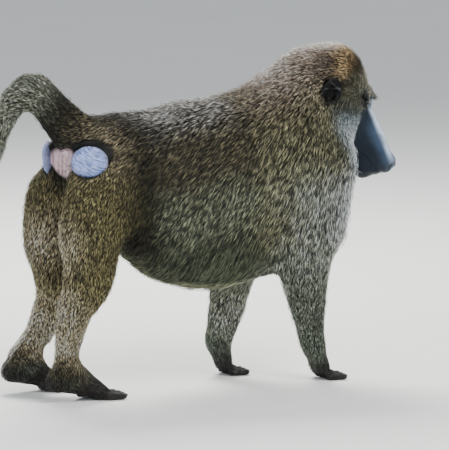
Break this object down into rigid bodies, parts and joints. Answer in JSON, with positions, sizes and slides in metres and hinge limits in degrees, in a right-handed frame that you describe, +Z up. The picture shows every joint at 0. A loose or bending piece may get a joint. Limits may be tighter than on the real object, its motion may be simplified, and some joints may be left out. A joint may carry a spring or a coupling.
{
  "type": "olive baboon",
  "caption": "Full-grown male olive baboon in a still walking pose, life size, with a maned coat, long dark muzzle, bare seat pads and arched tail.",
  "frame": {"origin": "on the floor, under the middle of the whole animal's outline", "axes": "+X towards the head, +Y to the animal's left, +Z up"},
  "size_m": [1.0468, 0.3042, 0.7518],
  "materials": {
    "coat": "coarse grizzled olive-brown fur",
    "skin": "bare dark skin, satin",
    "seat_pad": "horny grey-blue skin, matt",
    "eye": "wet amber-brown",
    "nail": "dark horn"
  },
  "bodies": {
    "root": {"trunk": "coat", "neck": "coat", "head": "coat", "upper_arm_left": "coat", "upper_arm_right": "coat", "thigh_left": "coat", "thigh_right": "coat", "shank_left": "coat", "shank_right": "coat", "forearm_left": "coat", "forearm_right": "coat", "tail_base": "coat", "tail_bend": "coat", "tail_drop": "coat", "tail_tip": "coat", "muzzle": "skin", "jaw": "skin", "ear_left": "skin", "ear_right": "skin", "hand_left": "skin", "hand_right": "skin", "foot_left": "skin", "foot_right": "skin", "seat_pad_left": "seat_pad", "seat_pad_right": "seat_pad", "eye_left": "eye", "eye_right": "eye"}
  },
  "joints": []
}
